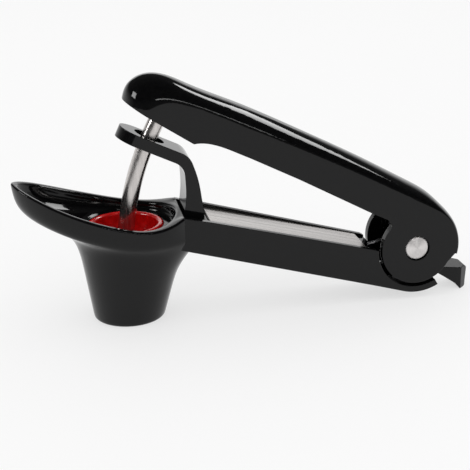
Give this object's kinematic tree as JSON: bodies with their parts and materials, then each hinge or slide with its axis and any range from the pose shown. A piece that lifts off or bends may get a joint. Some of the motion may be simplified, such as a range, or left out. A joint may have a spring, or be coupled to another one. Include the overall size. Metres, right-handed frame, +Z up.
{
  "type": "cherry pitter with lever",
  "caption": "Hand-held cherry pitter: a hinged lever swings a bent steel rod through a guide ring into a soft cup over a hollow skirt.",
  "frame": {"origin": "centre of the cup skirt's foot, on the table", "axes": "+X from the cup to the hinge, +Z up, the XZ plane is the plane of symmetry"},
  "size_m": [0.1829, 0.0444, 0.0961],
  "materials": {
    "black_shell": "high gloss black",
    "black_frame": "high gloss black",
    "black_guide": "gloss black",
    "black_tab": "satin gloss black",
    "red_silicone": "glossy red silicone",
    "rod_steel": "polished stainless",
    "strip_steel": "fine brushed",
    "pin_steel": "spun face",
    "spring_steel": "drawn wire",
    "screw_steel": "plated",
    "inner_plastic": "matt black",
    "bush_plastic": "natural white"
  },
  "bodies": {
    "frame": {"main_frame": "black_frame", "silicone_cup": "red_silicone", "guide_arm": "black_guide", "guide_screws": "screw_steel", "steel_strip": "strip_steel", "hinge_pin": "pin_steel", "hinge_cap": "pin_steel", "hinge_washers": "bush_plastic", "spring_sleeve": "inner_plastic", "torsion_spring": "spring_steel", "stop_screw": "screw_steel"},
    "lever": {"lever_shell": "black_shell", "rod_carrier": "inner_plastic", "carrier_screws": "screw_steel", "punch_rod": "rod_steel", "rod_pin": "screw_steel", "lever_bushes": "bush_plastic"},
    "lock": {"lock_tab": "black_tab"}
  },
  "joints": [
    {"name": "lever_hinge", "type": "hinge", "parent": "frame", "child": "lever", "pos_m": [0.116, 0, 0.0216], "axis": [0, -1, 0], "range_deg": [-18, 6.5], "stiffness_Nm_per_rad": 0.06, "deforming": ["torsion_spring"]},
    {"name": "lock_slide", "type": "slide", "parent": "frame", "child": "lock", "axis": [-1, 0, 0], "range_m": [0, 0.0055]}
  ]
}
